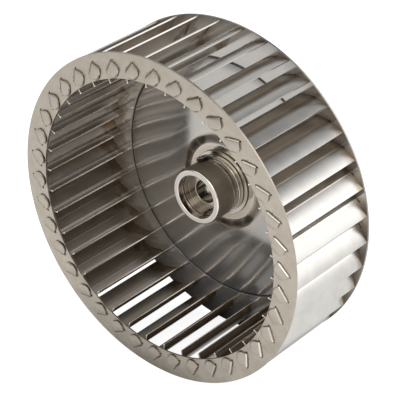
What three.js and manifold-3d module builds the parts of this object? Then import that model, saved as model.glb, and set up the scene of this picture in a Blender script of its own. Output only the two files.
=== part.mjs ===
// Forward-curved centrifugal blower wheel: a slotted inlet ring and a pressed back plate, joined by curved
// sheet blades whose tabs are folded flat over both, and a turned hub held by one set screw.
// Millimetres. The wheel turns about Y, its inlet faces -Y and its origin is its centre.

import * as THREE from 'three';
import { mergeVertices } from 'three/addons/utils/BufferGeometryUtils.js';
import Module from 'manifold-3d';

const wasm = await Module();
wasm.setup();

// Overall sizes
const WHEEL_DIAMETER = 160;
const WHEEL_WIDTH = 52; // front of the inlet ring to the back of the back plate
const BLADE_COUNT = 38;

// Sheet metal
const RING_SHEET = 1;
const PLATE_SHEET = 1;
const BLADE_SHEET = 0.7;
const GAP = 0.3; // left wherever two pieces touch

// Inlet ring
const RING_WIDTH = 12.1; // from its inner edge to the wheel's rim

// Blade section, from its inner edge outwards: a straight lip, a lead curve, a flat that carries the
// tabs, and a trailing curve. Angles are measured from the radius through the inner edge.
const TIP_INSET = 0.54; // from the wheel's rim to the middle of the sheet at the blade's tip
const LIP_LENGTH = 2.1;
const LEAD_RADIUS = 4.5;
const FLAT_ANGLE = 48;
const TRAIL_RADIUS = 9.5;
const TIP_ANGLE = 92;
const FIRST_BLADE_ANGLE = 8.3; // from +X towards +Z

// Tabs
const TAB_WIDTH = 7.2; // also the length of the blade's flat
const TAB_LENGTH = 5.4;
const TAB_CORNER = 2.6;

// Back plate
const PLATE_RIM_WIDTH = 19.7; // from the wheel's rim to the crease round the dished middle
const DISH_RISE = 2.8; // from the crease to the foot of the boss
const BOSS_MARGIN = 3.2; // flat top of the boss, round the washer
const BOSS_SLOPE_RUN = 4.2;
const BOSS_RISE = 1.3;

// Hub
const HUB_DIAMETER = 27.3;
const HUB_LENGTH = 17.2; // from the collar's back to the hub's front face
const SHAFT_BORE = 11;
const COUNTERBORE_DIAMETER = 21.2;
const COUNTERBORE_DEPTH = 3.2;
const INNER_GROOVE_WIDTH = 0.6;
const INNER_GROOVE_DEPTH = 0.5;
const LAND_DIAMETER = 19.8;
const LAND_DEPTH = 6.6; // from the hub's front face to the shoulder inside it
const BAND_LENGTH = 2.4; // polished band between the two outer grooves
const BAND_GROOVE_WIDTH = 0.4;
const BAND_GROOVE_DEPTH = 0.4;
const COLLAR_HEIGHT = 0.45; // over the hub's outside
const COLLAR_LENGTH = 2.8;
const SPIGOT_WALL = 3.2; // round the shaft's bore, where the washer and the plate sit
const FLANGE_HEIGHT = 3.8; // over the spigot, behind the plate
const HUB_BACK_INSET = 1; // from the back plate's back to the hub's back face
const HUB_CHAMFER = 0.3;

// Washer between the collar and the boss
const WASHER_MARGIN = 1.9; // round the collar
const WASHER_SHEET = 0.6;

// Set screw
const SCREW_DIAMETER = 6;
const SCREW_LENGTH = 8;
const SCREW_BACKED_OFF = 1.65; // from the shaft's bore to the screw's point
const SCREW_FROM_COLLAR = 4.8; // from the collar's back to the screw's axis
const SCREW_ANGLE = 117; // from +X towards +Z
const SCREW_POINT = 1.2;
const SOCKET_SIZE = 3; // across the flats
const SOCKET_DEPTH = 2.6;

// Facets
const RIM_SIDES = 2 * BLADE_COUNT;
const HUB_SIDES = 36;
const SCREW_SIDES = 18;
const LEAD_FACETS = 3;
const TRAIL_FACETS = 3;
const CORNER_FACETS = 3;

const radians = THREE.MathUtils.degToRad;
const rimRadius = WHEEL_DIAMETER / 2;
const frontY = -WHEEL_WIDTH / 2;
const backY = WHEEL_WIDTH / 2;
const rimY = backY - PLATE_SHEET;
const dishY = rimY - DISH_RISE;
const bossY = dishY - BOSS_RISE;
const washerY = bossY - GAP - WASHER_SHEET;
const collarBackY = washerY - GAP;
const hubFrontY = collarBackY - HUB_LENGTH;
const screwY = collarBackY - SCREW_FROM_COLLAR;
const boreRadius = SHAFT_BORE / 2;
const hubRadius = HUB_DIAMETER / 2;
const collarRadius = hubRadius + COLLAR_HEIGHT;
const washerRadius = collarRadius + WASHER_MARGIN;
const spigotRadius = boreRadius + SPIGOT_WALL;

const steel = {
  ring: new THREE.MeshStandardMaterial({ color: 0xbdb6ac, roughness: 0.4, metalness: 1 }),
  plate: new THREE.MeshStandardMaterial({ color: 0x9c9890, roughness: 0.2, metalness: 1 }),
  blade: new THREE.MeshStandardMaterial({ color: 0xaba69d, roughness: 0.25, metalness: 1 }),
  hub: new THREE.MeshStandardMaterial({ color: 0x8f867a, roughness: 0.3, metalness: 1 }),
  washer: new THREE.MeshStandardMaterial({ color: 0xc4beb4, roughness: 0.35, metalness: 1 }),
  screw: new THREE.MeshStandardMaterial({ color: 0x1c1a19, roughness: 0.45, metalness: 0.8 }),
};

// A closed geometry as a solid that can be joined and cut.
function toSolid(geometry) {
  const bare = geometry.index ? geometry.clone() : geometry;
  bare.deleteAttribute('normal');
  bare.deleteAttribute('uv');
  const merged = mergeVertices(bare);
  const mesh = new wasm.Mesh({
    numProp: 3,
    vertProperties: new Float32Array(merged.attributes.position.array),
    triVerts: new Uint32Array(merged.index.array),
  });
  return new wasm.Manifold(mesh);
}

function toGeometry(solid) {
  const mesh = solid.getMesh();
  const geometry = new THREE.BufferGeometry();
  geometry.setAttribute('position', new THREE.BufferAttribute(mesh.vertProperties, 3));
  geometry.setIndex(new THREE.BufferAttribute(mesh.triVerts, 1));
  return geometry;
}

function piece(name, solid, material) {
  const mesh = new THREE.Mesh(toGeometry(solid), material);
  mesh.name = name;
  return mesh;
}

// A ring turned about Y from a closed outline of [radius, y] points, which runs back along the outside
// and forward along the inside. Half a facet of turn puts a flat side, not a corner, at the lowest point.
function turned(outline, sides) {
  const points = [...outline, outline[0]].map(([r, y]) => new THREE.Vector2(r, y));
  return toSolid(new THREE.LatheGeometry(points, sides, Math.PI / sides));
}

// The same points on the other side of a sheet, in the opposite order.
function otherSide(points, thickness) {
  return points.map(([r, y]) => [r, y + thickness]).reverse();
}

// The blade's centre line as points with the direction the sheet takes there, laid out from the inner edge
// and then moved out to put the tip at the rim. x runs outwards along the radius of the inner edge, and y
// against the blade's angle.
function bladeLine() {
  const line = [];
  const spot = new THREE.Vector2();
  let angle = 0;
  const mark = () => line.push({ x: spot.x, y: spot.y, angle });
  const straight = (length) => {
    spot.x += length * Math.cos(angle);
    spot.y += length * Math.sin(angle);
    mark();
  };
  const curve = (radius, endAngle, facets) => {
    const turn = (endAngle - angle) / facets;
    for (let i = 0; i < facets; i += 1) {
      spot.x += radius * (Math.sin(angle + turn) - Math.sin(angle));
      spot.y += radius * (Math.cos(angle) - Math.cos(angle + turn));
      angle += turn;
      mark();
    }
  };
  mark();
  straight(LIP_LENGTH);
  curve(LEAD_RADIUS, radians(FLAT_ANGLE), LEAD_FACETS);
  straight(TAB_WIDTH);
  curve(TRAIL_RADIUS, radians(TIP_ANGLE), TRAIL_FACETS);
  const innerRadius = Math.sqrt((rimRadius - TIP_INSET) ** 2 - spot.y ** 2) - spot.x;
  return line.map((point) => ({ ...point, x: point.x + innerRadius }));
}

const bladeCentreLine = bladeLine();
const flatStart = bladeCentreLine[1 + LEAD_FACETS];

// Lays a shape drawn in the blade's section plane along Y, from y = low to y = high.
function alongWheel(shape, low, high) {
  const geometry = new THREE.ExtrudeGeometry(shape, { depth: high - low, bevelEnabled: false, steps: 1 });
  geometry.translate(0, 0, low);
  geometry.rotateX(-Math.PI / 2);
  return toSolid(geometry);
}

// A point given along the blade's flat and away from it, towards the blade's hollow side.
function onFlat(along, away) {
  const c = Math.cos(flatStart.angle);
  const s = Math.sin(flatStart.angle);
  return new THREE.Vector2(flatStart.x + along * c - away * s, flatStart.y + along * s + away * c);
}

function flatBlock(margin, low, high) {
  const half = BLADE_SHEET / 2 + margin;
  const corners = [
    onFlat(-margin, -half),
    onFlat(TAB_WIDTH + margin, -half),
    onFlat(TAB_WIDTH + margin, half),
    onFlat(-margin, half),
  ];
  return alongWheel(new THREE.Shape(corners), low, high);
}

// The tab's folded end: as wide as the blade's flat, with two rounded corners.
function foldedTab(low, high) {
  const half = BLADE_SHEET / 2;
  const corners = [onFlat(0, -half), onFlat(TAB_WIDTH, -half)];
  const rounding = (alongCentre, startAngle) => {
    for (let i = 0; i <= CORNER_FACETS; i += 1) {
      const a = startAngle + (i / CORNER_FACETS) * (Math.PI / 2);
      const along = alongCentre + TAB_CORNER * Math.cos(a);
      corners.push(onFlat(along, TAB_LENGTH - TAB_CORNER + TAB_CORNER * Math.sin(a)));
    }
  };
  rounding(TAB_WIDTH - TAB_CORNER, 0);
  rounding(TAB_CORNER, Math.PI / 2);
  return alongWheel(new THREE.Shape(corners), low, high);
}

function bladeSolid() {
  const half = BLADE_SHEET / 2;
  const side = (offset) => bladeCentreLine.map(({ x, y, angle }) => (
    new THREE.Vector2(x - offset * Math.sin(angle), y + offset * Math.cos(angle))
  ));
  const section = new THREE.Shape([...side(-half), ...side(half).reverse()]);
  const sheet = alongWheel(section, frontY + RING_SHEET + GAP, rimY - GAP);
  const tabFront = frontY - GAP - BLADE_SHEET;
  const tabBack = backY + GAP + BLADE_SHEET;
  return sheet
    .add(flatBlock(0, tabFront, tabBack))
    .add(foldedTab(tabFront, tabFront + BLADE_SHEET))
    .add(foldedTab(tabBack - BLADE_SHEET, tabBack));
}

function bladeAngle(index) {
  return FIRST_BLADE_ANGLE + (index * 360) / BLADE_COUNT;
}

// One slot for each blade, with the usual gap all round the tab.
function cutSlots(sheet, low, high) {
  const slot = flatBlock(GAP, low - GAP, high + GAP);
  let slotted = sheet;
  for (let i = 0; i < BLADE_COUNT; i += 1) {
    slotted = slotted.subtract(slot.rotate([0, -bladeAngle(i), 0]));
  }
  return slotted;
}

function frontRing() {
  const front = [[rimRadius - RING_WIDTH, frontY], [rimRadius, frontY]];
  const ring = turned([...front, ...otherSide(front, RING_SHEET)], RIM_SIDES);
  return piece('front_ring', cutSlots(ring, frontY, frontY + RING_SHEET), steel.ring);
}

function backPlate() {
  const creaseRadius = rimRadius - PLATE_RIM_WIDTH;
  const bossRadius = washerRadius + BOSS_MARGIN;
  const front = [
    [spigotRadius + GAP, bossY],
    [bossRadius, bossY],
    [bossRadius + BOSS_SLOPE_RUN, dishY],
    [creaseRadius, rimY],
    [rimRadius, rimY],
  ];
  const plate = turned([...front, ...otherSide(front, PLATE_SHEET)], RIM_SIDES);
  return piece('back_plate', cutSlots(plate, rimY, backY), steel.plate);
}

function blades() {
  const group = new THREE.Group();
  const solid = bladeSolid();
  for (let i = 0; i < BLADE_COUNT; i += 1) {
    const blade = piece(`blade_${String(i + 1).padStart(2, '0')}`, solid, steel.blade);
    blade.rotation.y = -radians(bladeAngle(i));
    group.add(blade);
  }
  return group;
}

// A solid that stands along the screw's axis, drawn upwards from the wheel's axis.
function placeOnScrewAxis(mesh) {
  mesh.rotation.y = -radians(SCREW_ANGLE);
  mesh.position.y = screwY;
  return mesh;
}

function screwPin(radius, low, high) {
  const pin = new THREE.CylinderGeometry(radius, radius, high - low, SCREW_SIDES);
  pin.rotateZ(-Math.PI / 2);
  pin.translate((low + high) / 2, 0, 0);
  return toSolid(pin);
}

function hub() {
  const land = LAND_DIAMETER / 2;
  const counterbore = COUNTERBORE_DIAMETER / 2;
  const innerGroove = counterbore + INNER_GROOVE_DEPTH;
  const flange = spigotRadius + FLANGE_HEIGHT;
  const bandRoot = hubRadius - BAND_GROOVE_DEPTH;
  const collarFrontY = collarBackY - COLLAR_LENGTH;
  const secondGrooveY = collarFrontY - BAND_GROOVE_WIDTH;
  const bandFrontY = secondGrooveY - BAND_LENGTH;
  const firstGrooveY = bandFrontY - BAND_GROOVE_WIDTH;
  const grooveEndY = hubFrontY + COUNTERBORE_DEPTH + INNER_GROOVE_WIDTH;
  const shoulderY = hubFrontY + LAND_DEPTH;
  const flangeY = bossY + PLATE_SHEET + GAP;
  const hubBackY = backY - HUB_BACK_INSET;
  const outline = [
    [hubRadius - HUB_CHAMFER, hubFrontY],
    [hubRadius, hubFrontY + HUB_CHAMFER],
    [hubRadius, firstGrooveY],
    [bandRoot, firstGrooveY],
    [bandRoot, bandFrontY],
    [hubRadius, bandFrontY],
    [hubRadius, secondGrooveY],
    [bandRoot, secondGrooveY],
    [bandRoot, collarFrontY],
    [collarRadius - HUB_CHAMFER, collarFrontY],
    [collarRadius, collarFrontY + HUB_CHAMFER],
    [collarRadius, collarBackY - HUB_CHAMFER],
    [collarRadius - HUB_CHAMFER, collarBackY],
    [spigotRadius, collarBackY],
    [spigotRadius, flangeY],
    [flange, flangeY],
    [flange, hubBackY],
    [boreRadius + HUB_CHAMFER, hubBackY],
    [boreRadius, hubBackY - HUB_CHAMFER],
    [boreRadius, shoulderY + HUB_CHAMFER],
    [boreRadius + HUB_CHAMFER, shoulderY],
    [land, shoulderY],
    [land, grooveEndY],
    [innerGroove, grooveEndY],
    [innerGroove, hubFrontY + COUNTERBORE_DEPTH],
    [counterbore, hubFrontY + COUNTERBORE_DEPTH],
    [counterbore, hubFrontY + HUB_CHAMFER],
    [counterbore + HUB_CHAMFER, hubFrontY],
  ];
  const body = turned(outline, HUB_SIDES);
  const hole = screwPin(SCREW_DIAMETER / 2 + GAP, boreRadius / 2, collarRadius + GAP)
    .rotate([0, -SCREW_ANGLE, 0])
    .translate([0, screwY, 0]);
  return piece('hub', body.subtract(hole), steel.hub);
}

function hubWasher() {
  const front = [[spigotRadius + GAP, washerY], [washerRadius, washerY]];
  const washer = turned([...front, ...otherSide(front, WASHER_SHEET)], HUB_SIDES);
  return piece('hub_washer', washer, steel.washer);
}

function setScrew() {
  const radius = SCREW_DIAMETER / 2;
  const tip = boreRadius + SCREW_BACKED_OFF;
  const top = tip + SCREW_LENGTH;
  const outline = [
    [0, tip],
    [radius - SCREW_POINT, tip],
    [radius, tip + SCREW_POINT],
    [radius, top - HUB_CHAMFER],
    [radius - HUB_CHAMFER, top],
    [0, top],
  ].map(([r, y]) => new THREE.Vector2(r, y));
  const body = new THREE.LatheGeometry(outline, SCREW_SIDES, Math.PI / SCREW_SIDES);
  const socket = new THREE.CylinderGeometry(
    SOCKET_SIZE / Math.sqrt(3), SOCKET_SIZE / Math.sqrt(3), 2 * SOCKET_DEPTH, 6,
  );
  socket.translate(0, top, 0);
  const solid = toSolid(body).subtract(toSolid(socket)).rotate([0, 0, -90]);
  return placeOnScrewAxis(piece('set_screw', solid, steel.screw));
}

const wheel = new THREE.Group();
wheel.add(frontRing(), backPlate(), blades(), hub(), hubWasher(), setScrew());

export default wheel;
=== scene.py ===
"""Looks of a forward-curved blower wheel: sheet blades with folded tabs between a slotted inlet ring and a
pressed back plate, and a turned hub with a washer and a set screw.

The wheel turns about Y and its inlet faces -Y. Sizes are in millimetres, and meshes are made in metres.
"""

import math
import random

import bmesh
import bpy
import numpy as np
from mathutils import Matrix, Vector
from mathutils.geometry import delaunay_2d_cdt


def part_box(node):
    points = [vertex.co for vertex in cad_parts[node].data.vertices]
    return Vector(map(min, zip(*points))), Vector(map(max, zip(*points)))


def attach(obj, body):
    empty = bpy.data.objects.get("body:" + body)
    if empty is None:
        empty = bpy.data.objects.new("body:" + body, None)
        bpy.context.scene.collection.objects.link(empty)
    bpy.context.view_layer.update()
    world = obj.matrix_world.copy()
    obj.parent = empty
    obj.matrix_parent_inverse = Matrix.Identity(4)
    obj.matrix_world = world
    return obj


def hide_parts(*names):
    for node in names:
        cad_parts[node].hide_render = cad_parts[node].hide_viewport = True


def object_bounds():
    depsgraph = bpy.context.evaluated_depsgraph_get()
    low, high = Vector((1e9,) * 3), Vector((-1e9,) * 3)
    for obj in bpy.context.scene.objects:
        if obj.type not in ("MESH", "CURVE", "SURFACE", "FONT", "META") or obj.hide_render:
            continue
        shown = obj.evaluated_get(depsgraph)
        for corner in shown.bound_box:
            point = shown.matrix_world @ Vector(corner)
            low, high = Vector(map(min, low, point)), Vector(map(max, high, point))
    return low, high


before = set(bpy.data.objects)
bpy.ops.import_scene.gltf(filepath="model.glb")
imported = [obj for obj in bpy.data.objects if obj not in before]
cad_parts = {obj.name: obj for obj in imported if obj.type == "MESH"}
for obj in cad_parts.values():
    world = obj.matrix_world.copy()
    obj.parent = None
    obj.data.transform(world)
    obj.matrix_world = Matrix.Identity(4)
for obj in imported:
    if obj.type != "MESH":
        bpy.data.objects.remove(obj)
cad_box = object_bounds()

MM = 0.001


def levels(node):
    """Lowest and highest y of a node, in millimetres."""
    low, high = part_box(node)
    return low.y / MM, high.y / MM


# Places taken from the frame
RING_FRONT, RING_BACK = levels("front_ring")
BOSS_FRONT, PLATE_BACK = levels("back_plate")
HUB_FRONT, HUB_BACK = levels("hub")
WASHER_FRONT, WASHER_BACK = levels("hub_washer")
BLADE_COUNT = sum(name.startswith("blade_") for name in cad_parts)

# Wheel
RIM_RADIUS = 80.0
RING_INNER_RADIUS = 67.9
EDGE_ROUNDING = 0.16
EDGE_STEPS = 4
FIT_CLEARANCE = 0.03
POINTS_PER_BLADE = 8
RIM_POINTS = POINTS_PER_BLADE * BLADE_COUNT
FLAT_FACE_WEIGHT = 80

# Blades
BLADE_SHEET = 0.7
BLADE_EDGE_ROUNDING = 0.12
BLADE_INNER_RADIUS = 65.6
LIP_LENGTH = 2.1
LIP_ROUNDING = 0.3
LIP_END_SHARE = 0.45
LIP_POINTS = (0.02, 0.08, 0.17, LIP_ROUNDING, 0.9, 1.5, LIP_LENGTH)
LEAD_RADIUS = 4.5
LEAD_ANGLE = math.radians(44)
MIDDLE_RADIUS = 39.4
MIDDLE_ANGLE = math.radians(52)
TRAIL_RADIUS = 19.9
TIP_ANGLE = math.radians(78.25)
RIDGE_HEIGHT = 0.1
RIDGE_HALF_WIDTH = 0.4
FIRST_BLADE_ANGLE = math.radians(8.3)
SECTION_STEPS = {"lip": len(LIP_POINTS), "lead": 10, "middle": 6, "trail": 14}
BLADE_ROWS = 14

# Tabs and their slots
TAB_ANGLE = math.radians(48)
TAB_WIDTH = 7.2
TAB_LENGTH = 5.2
TAB_CORNER = 2.6
TAB_BEND_RADIUS = 0.5
TAB_PILLOW = 0.2
TAB_END_SHARE = 0.55
TAB_END_ROUNDING = 0.7
TAB_STEPS = {"bend": 6, "flat": 4, "corner": 10}
TAB_PILLOW_RANGE = (0.6, 1.2)
TAB_LEAN_RANGE = (-0.05, 0.05)
TAB_LENGTH_RANGE = (0.96, 1.04)
RING_SLOT_MARGIN = 0.9
PLATE_SLOT_MARGIN = 0.4
SLOT_HOLLOW_MARGIN = 0.12
SLOT_BACK_MARGIN = 0.08
SLOT_END_STEPS = 8

# Back plate
PLATE_SHEET = 1.0
PLATE_JOIN_RADIUS = 67.0
CREASE_RADIUS = 60.3
CREASE_HALF_WIDTH = 1.0
BOSS_RADIUS = 19.2
BOSS_SLOPE_RUN = 4.2
BOSS_FRONT_FILLET = 3.0
BOSS_FOOT_FILLET = 5.0
BOSS_FILLET_STEPS = 8
DISH_FRONT = 22.2
DISH_STEP = 0.15
DISH_KEPT = 4
DISH_FOOT_RUN = 1.5
DISH_SMOOTHING = 2
DISH_TILT = (
    (BOSS_RADIUS + BOSS_SLOPE_RUN, 1.0), (30, 3.3), (35, 5.0), (54, 5.1), (58, 8.5), (59.5, 9),
    (59.8, 30), (60.2, 30), (60.5, -20), (60.8, -20), (61.1, 2), (63, -3),
    (PLATE_JOIN_RADIUS, 0),
)

# Hub, with the fillets of its edges
HUB_RADIUS = 13.65
HUB_FRONT_FILLET = 0.9
BORE_RADIUS = 5.5
BORE_BACK_FILLET = 0.3
BORE_FRONT_FILLET = 0.45
COUNTERBORE_RADIUS = 10.6
COUNTERBORE_DEPTH = 3.2
COUNTERBORE_FILLET = 0.45
INNER_GROOVE_WIDTH = 0.6
INNER_GROOVE_DEPTH = 0.5
INNER_GROOVE_FILLET = 0.12
LAND_RADIUS = 9.9
LAND_DEPTH = 6.6
LAND_FILLET = 0.15
BAND_LENGTH = 2.4
GROOVE_WIDTH = 0.4
GROOVE_DEPTH = 0.4
GROOVE_FILLET = 0.1
GROOVE_ROOT_FILLET = 0.05
COLLAR_RADIUS = 14.1
COLLAR_FRONT = 16.9
COLLAR_BACK = 19.7
COLLAR_FILLET = 0.3
SPIGOT_RADIUS = 8.7
CORNER_FILLET = 0.1
FLANGE_RADIUS = 12.5
FLANGE_FRONT = 22.2
FLANGE_FRONT_FILLET = 0.2
FLANGE_BACK_FILLET = 0.5
WASHER_RADIUS = 16.0
WASHER_FRONT_FILLET = 0.2
WASHER_BACK_FILLET = 0.15
HUB_SIDES = 192

# Set screw, and its hole with a small countersink. The socket's mouth is pairs of depth and growth.
SCREW_RADIUS = 3.0
SCREW_Y = 14.9
SCREW_TIP = 7.15
SCREW_LENGTH = 8.0
SCREW_TOP = SCREW_TIP + SCREW_LENGTH
SCREW_ANGLE = math.radians(117)
SCREW_POINT = 1.2
SCREW_CROWN = 0.35
SCREW_CROWN_SLOPE = 0.9
SCREW_SIDES = 48
THREAD_PITCH = 1.0
THREAD_DEPTH = 0.45
THREAD_FLAT_SHARE = 0.1
THREAD_ROWS = 12
SOCKET_SIZE = 3.0
SOCKET_DEPTH = 2.6
SOCKET_CONE = 0.6
SOCKET_MOUTH = ((0.0, 0.22), (0.2, 0.02), (0.26, 0.0))
SCREW_HOLE_RADIUS = 3.08
COUNTERSINK_DEPTH = 0.45
COUNTERSINK_REACH = 1.2
COUNTERSINK_GROWTH = 1.5
DRILL_SIDES = 64


# ------------ meshes

def in_scene(name, data):
    """A new object of the scene."""
    item = bpy.data.objects.new(name, data)
    bpy.context.scene.collection.objects.link(item)
    return item


def finished(name, mesh, material, body, nodes, weighted=True):
    """Adds a mesh as a smooth piece that rides on a body and stands for CAD nodes."""
    bmesh.ops.recalc_face_normals(mesh, faces=mesh.faces)
    data = bpy.data.meshes.new(name)
    mesh.to_mesh(data)
    mesh.free()
    data.polygons.foreach_set("use_smooth", [True] * len(data.polygons))
    data.materials.append(material)
    piece = in_scene(name, data)
    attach(piece, body)
    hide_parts(*nodes)
    if weighted:
        weigh_normals(piece)
    return piece


def weigh_normals(piece):
    """Lets large faces set the normals at their rounded edges."""
    modifier = piece.modifiers.new("flat faces stay flat", "WEIGHTED_NORMAL")
    modifier.keep_sharp = True
    modifier.weight = FLAT_FACE_WEIGHT


def add_loop(mesh, points):
    """Vertices of a closed loop of (x, y, z) points in millimetres."""
    return [mesh.verts.new(Vector(p) * MM) for p in points]


def bridge(mesh, first, second):
    """Quads between two closed loops with the same number of vertices."""
    count = len(first)
    for i in range(count):
        j = (i + 1) % count
        mesh.faces.new((first[i], first[j], second[j], second[i]))


def bridge_all(mesh, loops):
    for first, second in zip(loops, loops[1:]):
        bridge(mesh, first, second)


def unit(vector):
    return vector / np.linalg.norm(vector)


def rounded(corners, closed=True, steps=5):
    """Points of an outline of (r, y, fillet) corners, with an arc for each fillet. An open one keeps its
    ends."""
    count = len(corners)
    points = []
    for i, (r, y, fillet) in enumerate(corners):
        corner = np.array((r, y))
        if fillet == 0 or (not closed and i in (0, count - 1)):
            points.append(corner)
            continue
        before = unit(np.array(corners[i - 1][:2]) - corner)
        after = unit(np.array(corners[(i + 1) % count][:2]) - corner)
        half = math.acos(np.clip(before @ after, -1, 1)) / 2
        centre = corner + unit(before + after) * fillet / math.sin(half)
        start = unit(corner + before * fillet / math.tan(half) - centre)
        end = unit(corner + after * fillet / math.tan(half) - centre)
        sweep = math.pi - 2 * half
        for k in range(steps + 1):
            t = k / steps
            spoke = math.sin((1 - t) * sweep) * start + math.sin(t * sweep) * end
            points.append(centre + fillet * spoke / math.sin(sweep))
    return points


def revolve(mesh, outline, sides, closed=True):
    """Turns an outline of (r, y) points about Y."""
    turns = [2 * math.pi * k / sides for k in range(sides)]
    loops = [
        add_loop(mesh, [(r * math.cos(a), y, r * math.sin(a)) for a in turns])
        for r, y in outline
    ]
    bridge_all(mesh, loops)
    if closed:
        bridge(mesh, loops[-1], loops[0])


def circle(radius, count):
    """Points of a circle as (x, z)."""
    return [
        (radius * math.cos(2 * math.pi * k / count), radius * math.sin(2 * math.pi * k / count))
        for k in range(count)
    ]


def fill_between(mesh, loops):
    """Triangles inside the first loop of vertices and outside the others, in the plane of x and z."""
    verts = [vert for loop in loops for vert in loop]
    flat = [Vector((vert.co.x, vert.co.z)) / MM for vert in verts]
    faces, start = [], 0
    for loop in loops:
        faces.append(list(range(start, start + len(loop))))
        start += len(loop)
    inside_only, tolerance = 1, 1e-6
    made, _, triangles, _, _, owners = delaunay_2d_cdt(flat, [], faces, inside_only, tolerance)
    assert len(made) == len(flat)
    for triangle, owner in zip(triangles, owners):
        if owner == [0]:
            mesh.faces.new([verts[i] for i in triangle])


# ------------ blade section

# First point of the section that carries a tab, and how many steps the tab spans: those of the middle, those
# that the ridge adds, and a few of the trail
RIDGE_STEPS = 2
TAB_TRAIL_STEPS = 3
TAB_FIRST = SECTION_STEPS["lip"] + SECTION_STEPS["lead"]
TAB_COLUMNS = SECTION_STEPS["middle"] + RIDGE_STEPS + TAB_TRAIL_STEPS


def section_line():
    """Middle of the blade's sheet as (u, v, angle): u runs out along the radius of the inner edge."""
    line = [(BLADE_INNER_RADIUS + reach, 0.0, 0.0) for reach in (0.0, *LIP_POINTS)]
    curves = (
        (LEAD_RADIUS, LEAD_ANGLE, SECTION_STEPS["lead"]),
        (MIDDLE_RADIUS, MIDDLE_ANGLE, SECTION_STEPS["middle"]),
        (TRAIL_RADIUS, TIP_ANGLE, SECTION_STEPS["trail"]),
    )
    for radius, end_angle, steps in curves:
        u, v, angle = line[-1]
        turn = (end_angle - angle) / steps
        for _ in range(steps):
            u += radius * (math.sin(angle + turn) - math.sin(angle))
            v += radius * (math.cos(angle) - math.cos(angle + turn))
            angle += turn
            line.append((u, v, angle))
    return with_ridge(line, TAB_FIRST + SECTION_STEPS["middle"])


def with_ridge(line, at):
    """The line with a faint ridge at one of its points."""
    u, v, angle = line[at]
    c, s, w = math.cos(angle), math.sin(angle), RIDGE_HALF_WIDTH
    ridge = [
        (u - w * c, v - w * s, angle),
        (u + RIDGE_HEIGHT * s, v - RIDGE_HEIGHT * c, angle),
        (u + w * c, v + w * s, angle),
    ]
    return line[:at] + ridge + line[at + 1:]


def tab_middle():
    """Middle of the line that a tab is folded on, which starts where the lead would have its angle."""
    c, s, half_width = math.cos(TAB_ANGLE), math.sin(TAB_ANGLE), TAB_WIDTH / 2
    lead_end = BLADE_INNER_RADIUS + LIP_LENGTH + LEAD_RADIUS * s, LEAD_RADIUS * (1 - c)
    return lead_end[0] + half_width * c, lead_end[1] + half_width * s


SECTION = section_line()
TAB_MIDDLE = tab_middle()
RIDGE_RADIUS = math.hypot(*SECTION[TAB_FIRST + SECTION_STEPS["middle"] + 1][:2])


def tab_shares():
    """Where the section's points that carry a tab stand across it, from -1 to 1."""
    c, s = math.cos(TAB_ANGLE), math.sin(TAB_ANGLE)
    points = SECTION[TAB_FIRST:TAB_FIRST + TAB_COLUMNS + 1]
    along = [(u - TAB_MIDDLE[0]) * c + (v - TAB_MIDDLE[1]) * s for u, v, _ in points]
    return [-1.0] + [reach / (TAB_WIDTH / 2) for reach in along[1:-1]] + [1.0]


TAB_SHARES = tab_shares()


def lip_share(u):
    """Share of the sheet's thickness near its rounded inner edge."""
    fall = max(0.0, 1 - (u - BLADE_INNER_RADIUS) / LIP_ROUNDING)
    return LIP_END_SHARE + (1 - LIP_END_SHARE) * math.sqrt(1 - fall * fall)


def blade_angle(index):
    return FIRST_BLADE_ANGLE + 2 * math.pi * index / BLADE_COUNT


def in_wheel(u, v, turn):
    """x and z of a point of a blade's section, for the blade at that angle."""
    return (
        u * math.cos(turn) + v * math.sin(turn),
        u * math.sin(turn) - v * math.cos(turn),
    )


def on_tab_line(along, away):
    """A point along the line that a tab is folded on and away from it, from its middle."""
    c, s = math.cos(TAB_ANGLE), math.sin(TAB_ANGLE)
    return TAB_MIDDLE[0] + along * c - away * s, TAB_MIDDLE[1] + along * s + away * c


def slot_outline(index, end_margin, grow):
    """Outline of one blade's slot, with rounded ends, as (x, z) points."""
    half_width = (BLADE_SHEET + SLOT_HOLLOW_MARGIN + SLOT_BACK_MARGIN) / 2
    middle = (SLOT_HOLLOW_MARGIN - SLOT_BACK_MARGIN) / 2
    reach = TAB_WIDTH / 2 + end_margin - half_width
    radius = half_width + grow
    outline = []
    for side in (1, -1):
        for k in range(SLOT_END_STEPS + 1):
            a = side * math.pi / 2 - math.pi * k / SLOT_END_STEPS
            along = side * reach + radius * math.cos(a)
            away = middle + radius * math.sin(a)
            outline.append(in_wheel(*on_tab_line(along, away), blade_angle(index)))
    return outline


# ------------ sheet pieces

def edge_profile(front, back):
    """(inset, y) pairs from the front face of a sheet round its edge to its back face."""
    turn = [k / EDGE_STEPS * math.pi / 2 for k in range(EDGE_STEPS + 1)]
    near = [(EDGE_ROUNDING * (1 - math.sin(a)), front + EDGE_ROUNDING * (1 - math.cos(a))) for a in turn]
    far = [(inset, front + back - y) for inset, y in reversed(near)]
    return near + far


def slotted_rim(mesh, front, back, end_margin, inner_radius, open_inside):
    """A flat ring with a slot for each blade. Without an edge inside, another surface continues it."""

    def loops_at(inset, y):
        inner = inner_radius if open_inside else inner_radius + inset
        outlines = [circle(RIM_RADIUS - inset, RIM_POINTS), circle(inner, RIM_POINTS)]
        outlines += [slot_outline(i, end_margin, inset) for i in range(BLADE_COUNT)]
        return [add_loop(mesh, [(x, y, z) for x, z in outline]) for outline in outlines]

    layers = [loops_at(inset, y) for inset, y in edge_profile(front, back)]
    fill_between(mesh, layers[0])
    fill_between(mesh, layers[-1])
    for near, far in zip(layers, layers[1:]):
        for number, (first, second) in enumerate(zip(near, far)):
            if number != 1 or not open_inside:
                bridge(mesh, first, second)


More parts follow.
